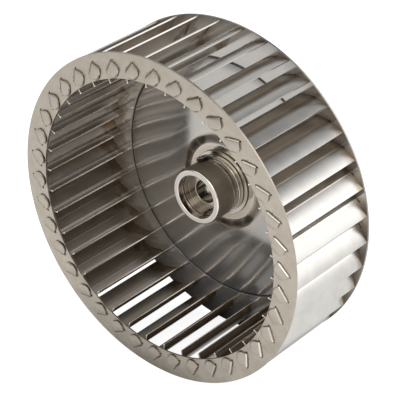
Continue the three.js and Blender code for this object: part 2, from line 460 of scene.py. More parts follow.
def make_ring():
    mesh = bmesh.new()
    slotted_rim(mesh, RING_FRONT, RING_BACK, RING_SLOT_MARGIN, RING_INNER_RADIUS, open_inside=False)
    return finished("ring_sheet", mesh, ring_steel(), "wheel", ["front_ring"])


def dish():
    """Front of the dished middle as (r, y) points, out from the foot of the boss: a cone and a crease. The
    tilts are in degrees, and their rise is fitted to the rim. Only the crease keeps all of its points."""
    foot = BOSS_RADIUS + BOSS_SLOPE_RUN
    radii = np.arange(foot, PLATE_JOIN_RADIUS + DISH_STEP / 2, DISH_STEP)
    tilt = np.radians(np.interp(radii, *zip(*DISH_TILT)))
    for _ in range(DISH_SMOOTHING):
        tilt[1:-1] = (tilt[:-2] + tilt[1:-1] + tilt[2:]) / 3
    rise = np.concatenate(([0], np.cumsum(np.tan(tilt[:-1]) * DISH_STEP)))
    rise += (PLATE_BACK - PLATE_SHEET - DISH_FRONT - rise[-1]) * (radii - foot) / (radii[-1] - foot)
    kept = np.arange(len(radii)) % DISH_KEPT == 0
    kept |= abs(radii - CREASE_RADIUS) < CREASE_HALF_WIDTH
    kept &= radii > foot + DISH_FOOT_RUN
    kept[[0, -1]] = True
    return list(zip(radii[kept], DISH_FRONT + rise[kept]))


def make_plate():
    """The slotted rim, the dished middle and the boss, as one sheet."""
    mesh = bmesh.new()
    rim_front = PLATE_BACK - PLATE_SHEET
    slotted_rim(mesh, rim_front, PLATE_BACK, PLATE_SLOT_MARGIN, PLATE_JOIN_RADIUS, open_inside=True)
    hole = SPIGOT_RADIUS + FIT_CLEARANCE
    foot, *front = dish()
    bends = [
        *((r, y, 0) for r, y in reversed(front)),
        (*foot, BOSS_FOOT_FILLET),
        (BOSS_RADIUS, BOSS_FRONT, BOSS_FRONT_FILLET),
        (hole, BOSS_FRONT, EDGE_ROUNDING),
    ]
    back = [(r, y + PLATE_SHEET, fillet) for r, y, fillet in reversed(bends)]
    outline = rounded(bends + back, closed=False, steps=BOSS_FILLET_STEPS)
    revolve(mesh, outline, RIM_POINTS, closed=False)
    bmesh.ops.remove_doubles(mesh, verts=mesh.verts, dist=1e-7)
    return finished("plate_sheet", mesh, plate_steel(), "wheel", ["back_plate"])


def tab_rows(length):
    """Rows of a folded tab from the blade's end, each as (away, height over the sheet's face, half width,
    share of the sheet's thickness). Its far end is rounded over."""
    half_width = TAB_WIDTH / 2
    straight = FIT_CLEARANCE + BLADE_SHEET / 2 - TAB_BEND_RADIUS
    rows = []
    for k in range(TAB_STEPS["bend"] + 1):
        a = k / TAB_STEPS["bend"] * math.pi / 2
        away, height = TAB_BEND_RADIUS * (1 - math.cos(a)), straight + TAB_BEND_RADIUS * math.sin(a)
        rows.append((away, height, half_width, 1.0))
    shoulder = length - TAB_CORNER
    flat_step = (shoulder - TAB_BEND_RADIUS) / TAB_STEPS["flat"]
    widths = [(TAB_BEND_RADIUS + flat_step * (k + 1), half_width) for k in range(TAB_STEPS["flat"])]
    for k in range(TAB_STEPS["corner"]):
        a = (k + 1) / TAB_STEPS["corner"] * math.pi / 2
        widths.append((shoulder + TAB_CORNER * math.sin(a), half_width - TAB_CORNER * (1 - math.cos(a))))
    for away, width in widths:
        fall = max(0.0, 1 - (length - away) / TAB_END_ROUNDING)
        share = TAB_END_SHARE + (1 - TAB_END_SHARE) * math.sqrt(1 - fall * fall)
        rows.append((away, FIT_CLEARANCE + BLADE_SHEET * share / 2, width, share))
    return rows


def blade_sheet(index):
    """Middle surface of a blade with a folded tab at each end, and each vertex's share of the thickness."""
    rng = random.Random(index)
    turn = blade_angle(index)
    mesh = bmesh.new()
    shares = mesh.verts.layers.float.new("share")
    low, high = RING_BACK + FIT_CLEARANCE, PLATE_BACK - PLATE_SHEET - FIT_CLEARANCE

    def add(u, v, y, share):
        x, z = in_wheel(u, v, turn)
        vert = mesh.verts.new(Vector((x, y, z)) * MM)
        vert[shares] = share
        return vert

    def strip(first, second):
        for i in range(len(first) - 1):
            mesh.faces.new((first[i], first[i + 1], second[i + 1], second[i]))

    heights = [low + (high - low) * k / BLADE_ROWS for k in range(BLADE_ROWS + 1)]
    rows = [[add(u, v, y, lip_share(u)) for u, v, _ in SECTION] for y in heights]
    for first, second in zip(rows, rows[1:]):
        strip(first, second)
    for base_row, face, outwards in ((rows[0], RING_FRONT, -1), (rows[-1], PLATE_BACK, 1)):
        previous = base_row[TAB_FIRST:TAB_FIRST + TAB_COLUMNS + 1]
        pillow = TAB_PILLOW * rng.uniform(*TAB_PILLOW_RANGE)
        lean = rng.uniform(*TAB_LEAN_RANGE)
        length = TAB_LENGTH * rng.uniform(*TAB_LENGTH_RANGE)
        for away, height, half_width, share in tab_rows(length):
            row = []
            for across in TAB_SHARES:
                crown = pillow * (1 - across ** 4) * math.sin(math.pi * min(1, away / length))
                y = face + outwards * (height + crown)
                row.append(add(*on_tab_line(across * half_width + lean * away, away), y, share))
            strip(previous, row)
            previous = row
    return mesh


def make_blade(index, material):
    """One blade's sheet, thickened, with its edges rounded."""
    name = f"{index + 1:02d}"
    mesh = blade_sheet(index)
    mesh.verts.index_update()
    layer = mesh.verts.layers.float["share"]
    shares = [vert[layer] for vert in mesh.verts]
    piece = finished(
        "blade_sheet_" + name, mesh, material, "wheel", ["blade_" + name],
        weighted=False,
    )
    group = piece.vertex_groups.new(name="thickness")
    for number, share in enumerate(shares):
        group.add([number], share, "REPLACE")
    thick = piece.modifiers.new("sheet thickness", "SOLIDIFY")
    thick.thickness = BLADE_SHEET * MM
    thick.offset = 0
    thick.use_even_offset = True
    thick.vertex_group = "thickness"
    edges = piece.modifiers.new("rounded edges", "BEVEL")
    edges.width = BLADE_EDGE_ROUNDING * MM
    edges.segments = 3
    edges.limit_method = "ANGLE"
    edges.angle_limit = math.radians(50)
    weigh_normals(piece)
    return piece


# ------------ turned pieces

def make_hub():
    """The hub, whose outline goes from its front edge along its outside and back through its bore."""
    band_root = HUB_RADIUS - GROOVE_DEPTH
    second_groove = COLLAR_FRONT - GROOVE_WIDTH
    band_front = second_groove - BAND_LENGTH
    first_groove = band_front - GROOVE_WIDTH
    groove_start = HUB_FRONT + COUNTERBORE_DEPTH
    groove_end = groove_start + INNER_GROOVE_WIDTH
    inner_groove = COUNTERBORE_RADIUS + INNER_GROOVE_DEPTH
    shoulder = HUB_FRONT + LAND_DEPTH
    outline = [
        (HUB_RADIUS, HUB_FRONT, HUB_FRONT_FILLET),
        (HUB_RADIUS, first_groove, GROOVE_FILLET),
        (band_root, first_groove, GROOVE_ROOT_FILLET),
        (band_root, band_front, GROOVE_ROOT_FILLET),
        (HUB_RADIUS, band_front, GROOVE_FILLET),
        (HUB_RADIUS, second_groove, GROOVE_FILLET),
        (band_root, second_groove, GROOVE_ROOT_FILLET),
        (band_root, COLLAR_FRONT, GROOVE_ROOT_FILLET),
        (COLLAR_RADIUS, COLLAR_FRONT, COLLAR_FILLET),
        (COLLAR_RADIUS, COLLAR_BACK, COLLAR_FILLET),
        (SPIGOT_RADIUS, COLLAR_BACK, CORNER_FILLET),
        (SPIGOT_RADIUS, FLANGE_FRONT, CORNER_FILLET),
        (FLANGE_RADIUS, FLANGE_FRONT, FLANGE_FRONT_FILLET),
        (FLANGE_RADIUS, HUB_BACK, FLANGE_BACK_FILLET),
        (BORE_RADIUS, HUB_BACK, BORE_BACK_FILLET),
        (BORE_RADIUS, shoulder, BORE_FRONT_FILLET),
        (LAND_RADIUS, shoulder, LAND_FILLET),
        (LAND_RADIUS, groove_end, INNER_GROOVE_FILLET),
        (inner_groove, groove_end, CORNER_FILLET),
        (inner_groove, groove_start, CORNER_FILLET),
        (COUNTERBORE_RADIUS, groove_start, INNER_GROOVE_FILLET),
        (COUNTERBORE_RADIUS, HUB_FRONT, COUNTERBORE_FILLET),
    ]
    mesh = bmesh.new()
    revolve(mesh, rounded(outline), HUB_SIDES)
    hub = finished("hub_turned", mesh, hub_steel(), "wheel", ["hub"], weighted=False)
    drill_for_screw(hub)
    weigh_normals(hub)
    return hub


def drill_for_screw(hub):
    """Cuts the screw's hole through one wall of the hub, with a small countersink at its mouth."""
    mesh = bmesh.new()
    steps = [
        (BORE_RADIUS / 2, SCREW_HOLE_RADIUS),
        (HUB_RADIUS - COUNTERSINK_DEPTH, SCREW_HOLE_RADIUS),
        (HUB_RADIUS + COUNTERSINK_REACH, SCREW_HOLE_RADIUS + COUNTERSINK_GROWTH),
    ]
    shares = [k / DRILL_SIDES for k in range(DRILL_SIDES)]
    loops = [add_loop(mesh, [round_screw(reach, radius, s) for s in shares]) for reach, radius in steps]
    bridge_all(mesh, loops)
    mesh.faces.new(loops[0])
    mesh.faces.new(loops[-1])
    bmesh.ops.recalc_face_normals(mesh, faces=mesh.faces)
    data = bpy.data.meshes.new("drill")
    mesh.to_mesh(data)
    mesh.free()
    drill = in_scene("drill", data)
    cut = hub.modifiers.new("screw hole", "BOOLEAN")
    cut.operation = "DIFFERENCE"
    cut.solver = "EXACT"
    cut.object = drill
    bpy.context.view_layer.update()
    drilled = hub.evaluated_get(bpy.context.evaluated_depsgraph_get())
    hub_data = bpy.data.meshes.new_from_object(drilled)
    hub.modifiers.clear()
    hub.data = hub_data
    bpy.data.objects.remove(drill)


def make_washer():
    mesh = bmesh.new()
    hole = SPIGOT_RADIUS + FIT_CLEARANCE
    outline = [
        (WASHER_RADIUS, WASHER_FRONT, WASHER_FRONT_FILLET),
        (WASHER_RADIUS, WASHER_BACK, WASHER_BACK_FILLET),
        (hole, WASHER_BACK, CORNER_FILLET),
        (hole, WASHER_FRONT, CORNER_FILLET),
    ]
    revolve(mesh, rounded(outline), HUB_SIDES)
    return finished("washer_sheet", mesh, washer_steel(), "wheel", ["hub_washer"])


# ------------ set screw

def round_screw(reach, radius, share):
    """Point at a share of a turn round the screw's axis, at a distance from the wheel's axis."""
    a = 2 * math.pi * share
    across = Vector((-math.sin(SCREW_ANGLE), 0, math.cos(SCREW_ANGLE)))
    outwards = Vector((math.cos(SCREW_ANGLE), 0, math.sin(SCREW_ANGLE)))
    level = Vector((0, SCREW_Y + radius * math.sin(a), 0))
    return level + (outwards * reach + across * radius * math.cos(a))


def thread_radius(reach, share):
    """Radius of the thread at a distance from the wheel's axis and a share of a turn."""
    phase = (reach / THREAD_PITCH - share) % 1
    flank = (abs(2 * phase - 1) - THREAD_FLAT_SHARE) / (1 - 2 * THREAD_FLAT_SHARE)
    depth = THREAD_DEPTH * min(1.0, max(0.0, flank))
    point = max(0.0, SCREW_POINT - (reach - SCREW_TIP))
    crown = max(0.0, SCREW_CROWN - (SCREW_TOP - reach)) * SCREW_CROWN_SLOPE
    return SCREW_RADIUS - max(depth, point, crown)


def socket_radius(share, growth):
    """Radius of the hexagon socket at a share of a turn, with its flats moved outwards by the growth."""
    off = (share * 6 + 0.5) % 1 - 0.5
    return (SOCKET_SIZE / 2 + growth) / math.cos(off * math.pi / 3)


def make_screw():
    """A threaded rod as loops from its point to its top, and then down into its hexagon socket."""
    mesh = bmesh.new()
    shares = [i / SCREW_SIDES for i in range(SCREW_SIDES)]
    rows = THREAD_ROWS * round(SCREW_LENGTH / THREAD_PITCH)
    loops = []
    for k in range(rows + 1):
        reach = SCREW_TIP + SCREW_LENGTH * k / rows
        loops.append(add_loop(mesh, [round_screw(reach, thread_radius(reach, s), s) for s in shares]))
    for depth, growth in (*SOCKET_MOUTH, (SOCKET_DEPTH, 0.0)):
        reach = SCREW_TOP - depth
        loops.append(add_loop(mesh, [round_screw(reach, socket_radius(s, growth), s) for s in shares]))
    mesh.faces.new(loops[0])
    bridge_all(mesh, loops)
    cone = add_loop(mesh, [round_screw(SCREW_TOP - SOCKET_DEPTH - SOCKET_CONE, 0, 0)])
    for first, second in zip(loops[-1], loops[-1][1:] + loops[-1][:1]):
        mesh.faces.new((first, second, *cone))
    return finished("screw_threaded", mesh, black_steel(), "set_screw", ["set_screw"])


# ------------ materials

class Nodes:
    """A node tree, with short ways to add to it."""

    def __init__(self, tree):
        self.tree = tree

    def link(self, value, socket):
        if isinstance(value, bpy.types.NodeSocket):
            self.tree.links.new(value, socket)
        else:
            socket.default_value = value

    def coordinates(self, kind="Object"):
        return self.tree.nodes.new("ShaderNodeTexCoord").outputs[kind]

    def split(self, vector):
        node = self.tree.nodes.new("ShaderNodeSeparateXYZ")
        self.link(vector, node.inputs["Vector"])
        return node.outputs

    def join(self, x, y, z):
        node = self.tree.nodes.new("ShaderNodeCombineXYZ")
        for socket, value in zip(node.inputs, (x, y, z)):
            self.link(value, socket)
        return node.outputs["Vector"]

    def math(self, operation, first, second=0.0):
        node = self.tree.nodes.new("ShaderNodeMath")
        node.operation = operation
        for socket, value in zip(node.inputs, (first, second)):
            self.link(value, socket)
        return node.outputs["Value"]

    def plus(self, first, second):
        return self.math("ADD", first, second)

    def minus(self, first, second):
        return self.math("SUBTRACT", first, second)

    def times(self, first, *others):
        for other in others:
            first = self.math("MULTIPLY", first, other)
        return first

    def squares(self, x, y):
        return self.plus(self.times(x, x), self.times(y, y))

    def length(self, x, y):
        """Length of the diagonal of two sides."""
        return self.math("SQRT", self.squares(x, y))

    def distance(self, value, place):
        """How far a value lies from a place, to either side."""
        return self.math("ABSOLUTE", self.minus(value, place))

    def spread(self, value, low, high, to_low, to_high, smooth=True):
        """Maps low..high to to_low..to_high, and stays there outside it."""
        node = self.tree.nodes.new("ShaderNodeMapRange")
        node.interpolation_type = "SMOOTHSTEP" if smooth else "LINEAR"
        self.link(value, node.inputs["Value"])
        limits = zip(("From Min", "From Max", "To Min", "To Max"), (low, high, to_low, to_high))
        for socket, number in limits:
            self.link(number, node.inputs[socket])
        return node.outputs["Result"]

    def blend(self, share, first, second):
        """A number between two, by a share from 0 to 1."""
        return self.plus(first, self.times(share, self.minus(second, first)))

    def along(self, x, y, azimuth, length):
        """How far a place or direction lies towards an azimuth, from -1 to 1, for a given level length."""
        towards = direction(azimuth, 0)
        part = self.plus(self.times(x, towards.x), self.times(y, towards.y))
        return self.math("DIVIDE", part, length)

    def mix(self, share, first, second):
        """A colour between two, by a share from 0 to 1."""
        node = self.tree.nodes.new("ShaderNodeMix")
        node.data_type = "RGBA"
        colours = [socket for socket in node.inputs if socket.type == "RGBA"]
        self.link(share, node.inputs[0])
        self.link(first, colours[0])
        self.link(second, colours[1])
        return next(socket for socket in node.outputs if socket.type == "RGBA")


class Metal(Nodes):
    """A metal's material, with places in metres in the wheel's frame. Fades and bumps take millimetres."""

    def __init__(self, name, metallic=1.0):
        self.material = bpy.data.materials.new(name)
        self.material.use_nodes = True
        super().__init__(self.material.node_tree)
        self.shader = self.tree.nodes["Principled BSDF"]
        self.shader.inputs["Metallic"].default_value = metallic
        self.place = self.coordinates()
        self.x, self.y, self.z = self.split(self.place)
        self.radius = self.length(self.x, self.z)
        nx, _, nz = self.split(self.coordinates("Normal"))
        outwards = self.plus(self.times(nx, self.x), self.times(nz, self.z))
        self.outwards = self.math("DIVIDE", outwards, self.radius)

    def stretched(self, x, y, z, turn=0.0):
        """Places in lengths of 1/x, 1/y and 1/z metres, after a turn about Y."""
        node = self.tree.nodes.new("ShaderNodeMapping")
        node.vector_type = "TEXTURE"
        node.inputs["Rotation"].default_value = (0, turn, 0)
        node.inputs["Scale"].default_value = (1 / x, 1 / y, 1 / z)
        self.link(self.place, node.inputs["Vector"])
        return node.outputs["Vector"]

    def noise(self, place, scale, detail, roughness=0.6):
        node = self.tree.nodes.new("ShaderNodeTexNoise")
        self.link(place, node.inputs["Vector"])
        node.inputs["Scale"].default_value = scale
        node.inputs["Detail"].default_value = detail
        node.inputs["Roughness"].default_value = roughness
        return node.outputs["Fac"]

    def vary(self, noise, low, high):
        """A number that follows a noise."""
        return self.spread(noise, *NOISE_RANGE, low, high)

    def shades(self, noise, dark, pale):
        """A colour that follows a noise."""
        return self.mix(self.vary(noise, 0, 1), dark, pale)

    def change(self, value, places, before, after):
        """One number before a pair of places and another after it."""
        return self.spread(value, places[0] * MM, places[1] * MM, before, after)

    def fade_in(self, value, places, share=1.0):
        return self.change(value, places, 0, share)

    def fade_out(self, value, places, share=1.0):
        return self.change(value, places, share, 0)

    def band(self, value, rise, fall, share=1.0):
        """A share between two pairs of places, and none outside them."""
        return self.times(self.fade_in(value, rise, share), self.fade_out(value, fall))

    def bump(self, height, distance, normal=None):
        node = self.tree.nodes.new("ShaderNodeBump")
        node.inputs["Distance"].default_value = distance * MM
        self.link(height, node.inputs["Height"])
        if normal is not None:
            self.link(normal, node.inputs["Normal"])
        return node.outputs["Normal"]

    def finish(self, colour, roughness, normal):
        self.link(colour, self.shader.inputs["Base Color"])
        self.link(roughness, self.shader.inputs["Roughness"])
        self.link(normal, self.shader.inputs["Normal"])
        return self.material


def rgb(red, green, blue):
    return (red, green, blue, 1.0)


# Where most of a noise lies, and its middle part
NOISE_RANGE = (0.3, 0.7)
NOISE_MIDDLE = (0.35, 0.65)

# Satin sheet of the ring and the tabs: places run along a tab's bend from its middle, or away from it
SATIN_SHADES = rgb(0.36, 0.32, 0.265), rgb(0.43, 0.39, 0.335)
SATIN_PITS = rgb(0.16, 0.135, 0.105)
SATIN_BUMP = 0.012
GRAIN_PITS = (0.3, 0.42)
SCRATCH_TURN = 0.5
SCRATCH_SCALE = 90
SCRATCH_STRETCH = 14
SCRATCH_EDGE = (0.62, 0.66)
SCRATCH_DEPTH = 0.8
# Painted shadow along the tabs' raised ends; the small tool marks behind their bends share its colour
TAB_SHADOW_AND_MARK = rgb(0.06, 0.045, 0.03)
TAB_EDGE_SHADOW_LINE = 0.08
TAB_EDGE_SHADOW_FADE = (0.2, 0.7)
TAB_EDGE_SHADOW_AWAY = (2.0, 3.4)
TAB_EDGE_SHADOW_ALONG = (-0.4, 1.2)
TAB_OUTLINE_START = (0.4, 1.2)
TAB_OUTLINE_FAR = 10
TOOL_MARK_OFFSET = 1.3
TOOL_MARK_RADII = (0.18, 0.4)
# Painted highlight on each tab's bend, which is also less rough
BEND_HIGHLIGHT = rgb(0.62, 0.57, 0.5)
BEND_ROUGHNESS = 0.28
BEND_STRIP = (-0.6, -0.4), (0.0, 0.4)
BEND_END = (3.4, 3.7)
GAP_SHADOW = rgb(0.07, 0.05, 0.035)
GAP_STRIP = (-1.1, -0.9), (-0.65, -0.4)


def tab_place(m):
    """Places along the bend of the nearest tab and away from the bend towards the tab's end."""
    c, s = math.cos(TAB_ANGLE), math.sin(TAB_ANGLE)
    middle = on_tab_line(0, TAB_LENGTH / 2)
    lead = math.atan2(middle[1], middle[0])
    pitch = 2 * math.pi / BLADE_COUNT
    turns = m.math("DIVIDE", m.plus(m.math("ARCTAN2", m.z, m.x), lead - FIRST_BLADE_ANGLE), pitch)
    share = m.minus(m.math("FRACT", m.plus(turns, 0.5)), 0.5)
    angle = m.minus(lead, m.times(share, pitch))
    u = m.minus(m.times(m.radius, m.math("COSINE", angle)), TAB_MIDDLE[0] * MM)
    v = m.minus(m.times(m.radius, m.math("SINE", angle)), TAB_MIDDLE[1] * MM)
    along = m.plus(m.times(u, c), m.times(v, s))
    return along, m.minus(m.times(v, c), m.times(u, s))


def from_tab_end(m, along, away):
    """Distance outwards from the rounded end of a tab, negative on the tab and large at its bend."""
    straight = TAB_WIDTH / 2 - TAB_CORNER
    sideways = m.math("MAXIMUM", m.minus(m.math("ABSOLUTE", along), straight * MM), 0.0)
    onwards = m.math("MAXIMUM", m.minus(away, (TAB_LENGTH - TAB_CORNER) * MM), 0.0)
    distance = m.minus(m.length(sideways, onwards), TAB_CORNER * MM)
    return m.plus(distance, m.fade_out(away, TAB_OUTLINE_START, TAB_OUTLINE_FAR * MM))


def tab_shadow_and_mark(m, along, away, mottle):
    """Share of painted shadow along a tab's edge, where its raised end shades the sheet, and of the small
    tool mark behind its bend.
    """
    patchy = m.spread(mottle, *NOISE_MIDDLE, 0.25, 0.75)
    off_edge = m.distance(from_tab_end(m, along, away), TAB_EDGE_SHADOW_LINE * MM)
    edge_shadow = m.times(
        m.fade_out(off_edge, TAB_EDGE_SHADOW_FADE),
        patchy,
        m.change(away, TAB_EDGE_SHADOW_AWAY, 0.1, 1),
        m.change(along, TAB_EDGE_SHADOW_ALONG, 1, 0.05),
    )
    offset = TOOL_MARK_OFFSET * MM
    squares = m.squares(m.plus(along, offset), m.plus(away, offset))
    inner, outer = ((radius * MM) ** 2 for radius in TOOL_MARK_RADII)
    return m.math("MAXIMUM", edge_shadow, m.spread(squares, inner, outer, patchy, 0))


def scratches(m):
    """Fine straight marks across the wheel's face: 1 in a mark and 0 outside."""
    place = m.stretched(SCRATCH_SCALE * SCRATCH_STRETCH, SCRATCH_SCALE, SCRATCH_SCALE, SCRATCH_TURN)
    return m.spread(m.noise(place, 1, detail=1, roughness=0.4), *SCRATCH_EDGE, 0, 1)


def pressed_finish(m):
    """Colour, roughness and height of satin sheet with tool marks by the tabs, painted shadow along the
    tabs' raised ends and in the gaps behind their bends, and a painted highlight on each bend.
    """
    mottle = m.noise(m.place, 150, detail=4)
    grain = m.noise(m.place, 2600, detail=3, roughness=0.75)
    colour = m.shades(mottle, *SATIN_SHADES)
    colour = m.mix(m.spread(grain, *GRAIN_PITS, 0.45, 0), colour, SATIN_PITS)
    along, away = tab_place(m)
    # Painted shadow along the tabs' raised ends, and the tool marks behind their bends
    colour = m.mix(tab_shadow_and_mark(m, along, away, mottle), colour, TAB_SHADOW_AND_MARK)
    beside_bend = m.fade_out(m.math("ABSOLUTE", along), BEND_END)
    bend = m.times(m.band(away, *BEND_STRIP), beside_bend)
    # The bend's strip is painted brighter as a highlight
    colour = m.mix(bend, colour, BEND_HIGHLIGHT)
    roughness = m.blend(bend, m.vary(mottle, 0.33, 0.42), BEND_ROUGHNESS)
    gap = m.times(m.band(away, *GAP_STRIP), beside_bend, m.spread(mottle, 0.35, 0.6, 0.5, 1))
    colour = m.mix(gap, colour, GAP_SHADOW)
    return colour, roughness, m.plus(grain, m.times(scratches(m), -SCRATCH_DEPTH))


def ring_steel():
    """Satin plated sheet with fine scratches."""
    m = Metal("ring_steel")
    colour, roughness, height = pressed_finish(m)
    return m.finish(colour, roughness, m.bump(height, SATIN_BUMP))


# Back plate: places are distances from the wheel's axis, or along it for its rim's edge
PLATE_SHADES = rgb(0.39, 0.375, 0.355), rgb(0.41, 0.395, 0.375)
PLATE_WAVES = 0.008
# Painted shade in the crease
CREASE_SHADE = rgb(0.05, 0.042, 0.035)
CREASE_FADE = (0.3, 0.8)
BOSS_HAZE = rgb(0.28, 0.235, 0.185)
BOSS_HAZE_END = (17.5, 19.0)
FOOT_HAZE = rgb(0.50, 0.43, 0.35)
FOOT_HAZE_END = (23.5, 27.5)
# Painted shade on the slope round the boss
SLOPE_SHADE = rgb(0.07, 0.055, 0.04)
SLOPE_RANGE = (18.5, 21.0), (21.8, 24.5)
SLOPE_RIPPLE = 3
# Painted shade of the blades on the plate's rim
RIM_SHADE = rgb(0.1, 0.08, 0.06)
RIM_SHADE_START = (76, 86)
RIM_SHADE_RIPPLE = 8
RIM_EDGE = (25.2, 25.6)


def plate_steel():
    """Bright plated sheet with slow waves, and with painted shade in its crease, on the slope round its boss
    and on its rim among the blades.
    """
    m = Metal("plate_steel", metallic=0.82)
    mottle = m.noise(m.place, 90, detail=4)
    waves = m.noise(m.place, 22, detail=0, roughness=0.4)
    colour = m.shades(mottle, *PLATE_SHADES)
    from_crease = m.distance(m.radius, CREASE_RADIUS * MM)
    # Painted shade in the crease
    colour = m.mix(m.fade_out(from_crease, CREASE_FADE, share=0.9), colour, CREASE_SHADE)
    colour = m.mix(m.fade_out(m.radius, BOSS_HAZE_END, share=0.8), colour, BOSS_HAZE)
    colour = m.mix(m.fade_out(m.radius, FOOT_HAZE_END, share=0.5), colour, FOOT_HAZE)
    # Painted shade on the slope round the boss, its edges rippled by the mottle
    ripple = m.plus(m.radius, m.times(m.minus(mottle, 0.5), SLOPE_RIPPLE * MM))
    colour = m.mix(m.band(ripple, *SLOPE_RANGE, share=0.8), colour, SLOPE_SHADE)
    # Painted shade of the blades on the rim's front face, with less on its edge
    near_rim = m.plus(m.radius, m.times(mottle, RIM_SHADE_RIPPLE * MM))
    rim_shade = m.times(m.fade_in(near_rim, RIM_SHADE_START, share=0.5), m.change(m.y, RIM_EDGE, 1, 0.4))
    colour = m.mix(rim_shade, colour, RIM_SHADE)
    return m.finish(colour, m.vary(mottle, 0.11, 0.15), m.bump(waves, PLATE_WAVES))


# Blades: places are distances from the wheel's axis, from the inner edge or the ridge for the two fades, and
# along the axis for the ridge highlight's end, the brown near the back plate and the tabs
BLADE_GRAIN = (2200, 60, 2200)
BLADE_GRAIN_HEIGHT = 0.06
BLADE_SHADES = rgb(0.51, 0.495, 0.47), rgb(0.57, 0.555, 0.53)
SIDE_CHANGE = (-0.1, 0.1)
HOLLOW_ROUGHNESS = 0.06
# Painted highlight in a band on the blades' outer side
BAND_HIGHLIGHT = rgb(0.82, 0.79, 0.74)
BAND_HIGHLIGHT_RANGE = (71, 72.5), (74.5, 76.5)
TARNISH = rgb(0.40, 0.335, 0.27)
TARNISH_OUTSIDE = (68, 72.5)
TARNISH_INSIDE = (70, 74.5)
# The bare cut edge is smoother, and its pale colour is a painted highlight
CUT_EDGE_HIGHLIGHT = rgb(0.95, 0.87, 0.77)
CUT_EDGE_FADE = (0.2, 0.5)
CUT_EDGE_ROUGHNESS = 0.25
# Painted highlight along the ridge on the outer side
RIDGE_HIGHLIGHT = rgb(0.97, 0.91, 0.82)
RIDGE_HIGHLIGHT_FADE = (0.2, 0.8)
RIDGE_HIGHLIGHT_END = (18, 21)
NEAR_PLATE_BROWN = rgb(0.2, 0.14, 0.085)
NEAR_PLATE_BROWN_START = (23.5, 29)
NEAR_PLATE_BROWN_RIPPLE = 8
NEAR_PLATE_BROWN_INSIDE = 6
TAB_START = (25.6, 26)


def blade_steel():
    """Bright plated sheet with a grain along the wheel's axis, tarnished inside the wheel and near its inner
    edge, and darker brown towards the back plate. On the outer side it has a painted highlight in a band and
    another along its ridge, and its bare cut edge is painted pale as a highlight. Its tabs have the ring's
    finish."""
    m = Metal("blade_steel")
    grain = m.noise(m.stretched(*BLADE_GRAIN), 1, detail=3)
    mottle = m.noise(m.place, 120, detail=4)
    hollow_side = m.spread(m.outwards, *SIDE_CHANGE, 1, 0)
    outer_side = m.spread(m.outwards, *SIDE_CHANGE, 0, 1)
    colour = m.shades(mottle, *BLADE_SHADES)
    # Painted highlight in a band on the outer side
    colour = m.mix(m.times(m.band(m.radius, *BAND_HIGHLIGHT_RANGE), outer_side), colour, BAND_HIGHLIGHT)
    tarnish_outside = m.fade_out(m.radius, TARNISH_OUTSIDE, share=0.9)
    tarnish_inside = m.change(m.radius, TARNISH_INSIDE, 0.4, 1)
    colour = m.mix(m.blend(hollow_side, tarnish_outside, tarnish_inside), colour, TARNISH)
    # The bare cut edge: smoother, with a painted highlight
    cut_edge = m.fade_out(m.radius, [BLADE_INNER_RADIUS + reach for reach in CUT_EDGE_FADE])
    colour = m.mix(cut_edge, colour, CUT_EDGE_HIGHLIGHT)
    # Painted highlight along the ridge on the outer side, fading towards the back plate
    ridge_highlight = m.fade_out(m.distance(m.radius, RIDGE_RADIUS * MM), RIDGE_HIGHLIGHT_FADE, share=0.7)
    ridge_highlight = m.times(ridge_highlight, m.fade_out(m.y, RIDGE_HIGHLIGHT_END), outer_side)
    colour = m.mix(ridge_highlight, colour, RIDGE_HIGHLIGHT)
    # Darker brown towards the back plate, reaching further on the hollow side
    brown_reach_inside = m.times(hollow_side, m.spread(mottle, *NOISE_MIDDLE, 0, NEAR_PLATE_BROWN_INSIDE * MM))
    near_plate = m.plus(m.plus(m.y, m.times(mottle, NEAR_PLATE_BROWN_RIPPLE * MM)), brown_reach_inside)
    colour = m.mix(m.fade_in(near_plate, NEAR_PLATE_BROWN_START, share=0.85), colour, NEAR_PLATE_BROWN)
    roughness = m.plus(m.vary(mottle, 0.28, 0.33), m.times(hollow_side, HOLLOW_ROUGHNESS))
    roughness = m.blend(cut_edge, roughness, CUT_EDGE_ROUGHNESS)
    on_tab = m.fade_in(m.math("ABSOLUTE", m.y), TAB_START)
    tab_colour, tab_roughness, tab_height = pressed_finish(m)
    colour = m.mix(on_tab, colour, tab_colour)
    roughness = m.blend(on_tab, roughness, tab_roughness)
    height = m.blend(on_tab, m.times(grain, BLADE_GRAIN_HEIGHT), tab_height)
    return m.finish(colour, roughness, m.bump(height, SATIN_BUMP))


# Hub and washer: places are distances from the hub's front face, from the wheel's axis or from an edge
HUB_SHADES = rgb(0.62, 0.58, 0.52), rgb(0.70, 0.66, 0.60)
HUB_RING_PITCH = 0.2
HUB_RING_DEPTH = 0.0008
LINE_SHADES = rgb(0.27, 0.23, 0.185), rgb(0.70, 0.63, 0.55)
LINE_PITCH = 0.82
LINE_BUMP = 0.02
DULL_START = (0.7, 1.0)
DULL_BEFORE_GROOVE = 0.3
DULL_ROUGHNESS = 0.32
HUB_OUTSIDE = (-0.5, -0.1)
HUB_FACE = rgb(0.43, 0.40, 0.36)
HUB_FACE_DEPTH = (0, 0.1)
HUB_FACE_RANGE = (10.8, 11.2), (12.7, 13.0)
HUB_BORE = rgb(0.20, 0.17, 0.135)
HUB_BORE_EDGE = (-0.1, 0.5)
HUB_BORE_START = (0.3, 0.7)
WASHER_SHADES = rgb(0.46, 0.42, 0.36), rgb(0.52, 0.48, 0.42)
WASHER_RING_PITCH = 0.3
WASHER_RING_DEPTH = 0.003


def turned(m, pitch, depth):
    """Fine rings round the wheel's axis, as a lathe leaves them: their pattern and their normal."""
    place = m.join(m.math("DIVIDE", m.radius, pitch * MM), m.math("DIVIDE", m.y, pitch * MM), 0.0)
    rings = m.noise(place, 1, detail=2)
    return rings, m.bump(rings, depth)


